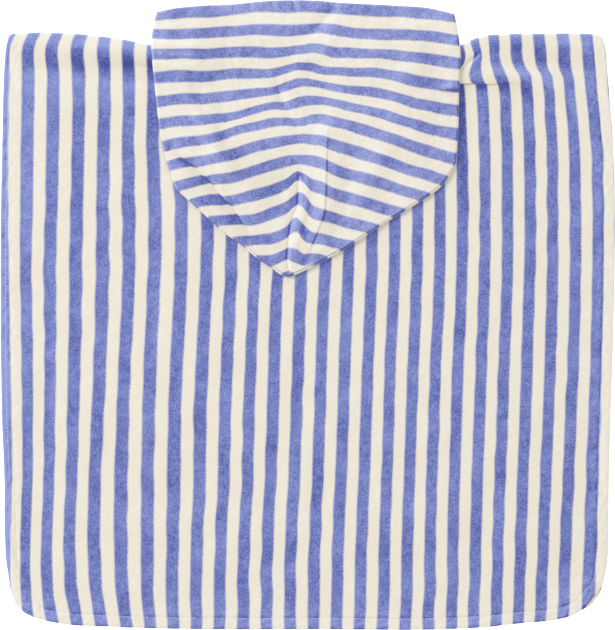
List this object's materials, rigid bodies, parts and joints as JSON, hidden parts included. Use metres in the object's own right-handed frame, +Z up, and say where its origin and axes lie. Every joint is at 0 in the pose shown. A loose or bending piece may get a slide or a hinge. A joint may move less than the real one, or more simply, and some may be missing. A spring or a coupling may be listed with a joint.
{
  "type": "hooded bath poncho",
  "caption": "Child's hooded bath poncho in striped velour terry, laid flat on its front with the back up and the hood folded down over it.",
  "frame": {"origin": "on the surface that the poncho lies on, under the middle of its outline", "axes": "X runs across the poncho from its left side to its right as seen from above, Y from the bottom hem up to the hood's mouth, and Z up from the surface"},
  "size_m": [0.6016, 0.6155, 0.0129],
  "materials": {
    "front_velour": "cream and blue striped cotton velour terry, matt with a soft nap",
    "back_velour": "blue and cream striped cotton velour terry, matt with a soft nap",
    "hood_velour": "blue and cream striped cotton velour terry, matt with a soft nap"
  },
  "bodies": {
    "root": {"front_panel": "front_velour", "back_panel": "back_velour", "hood": "hood_velour"}
  },
  "joints": []
}
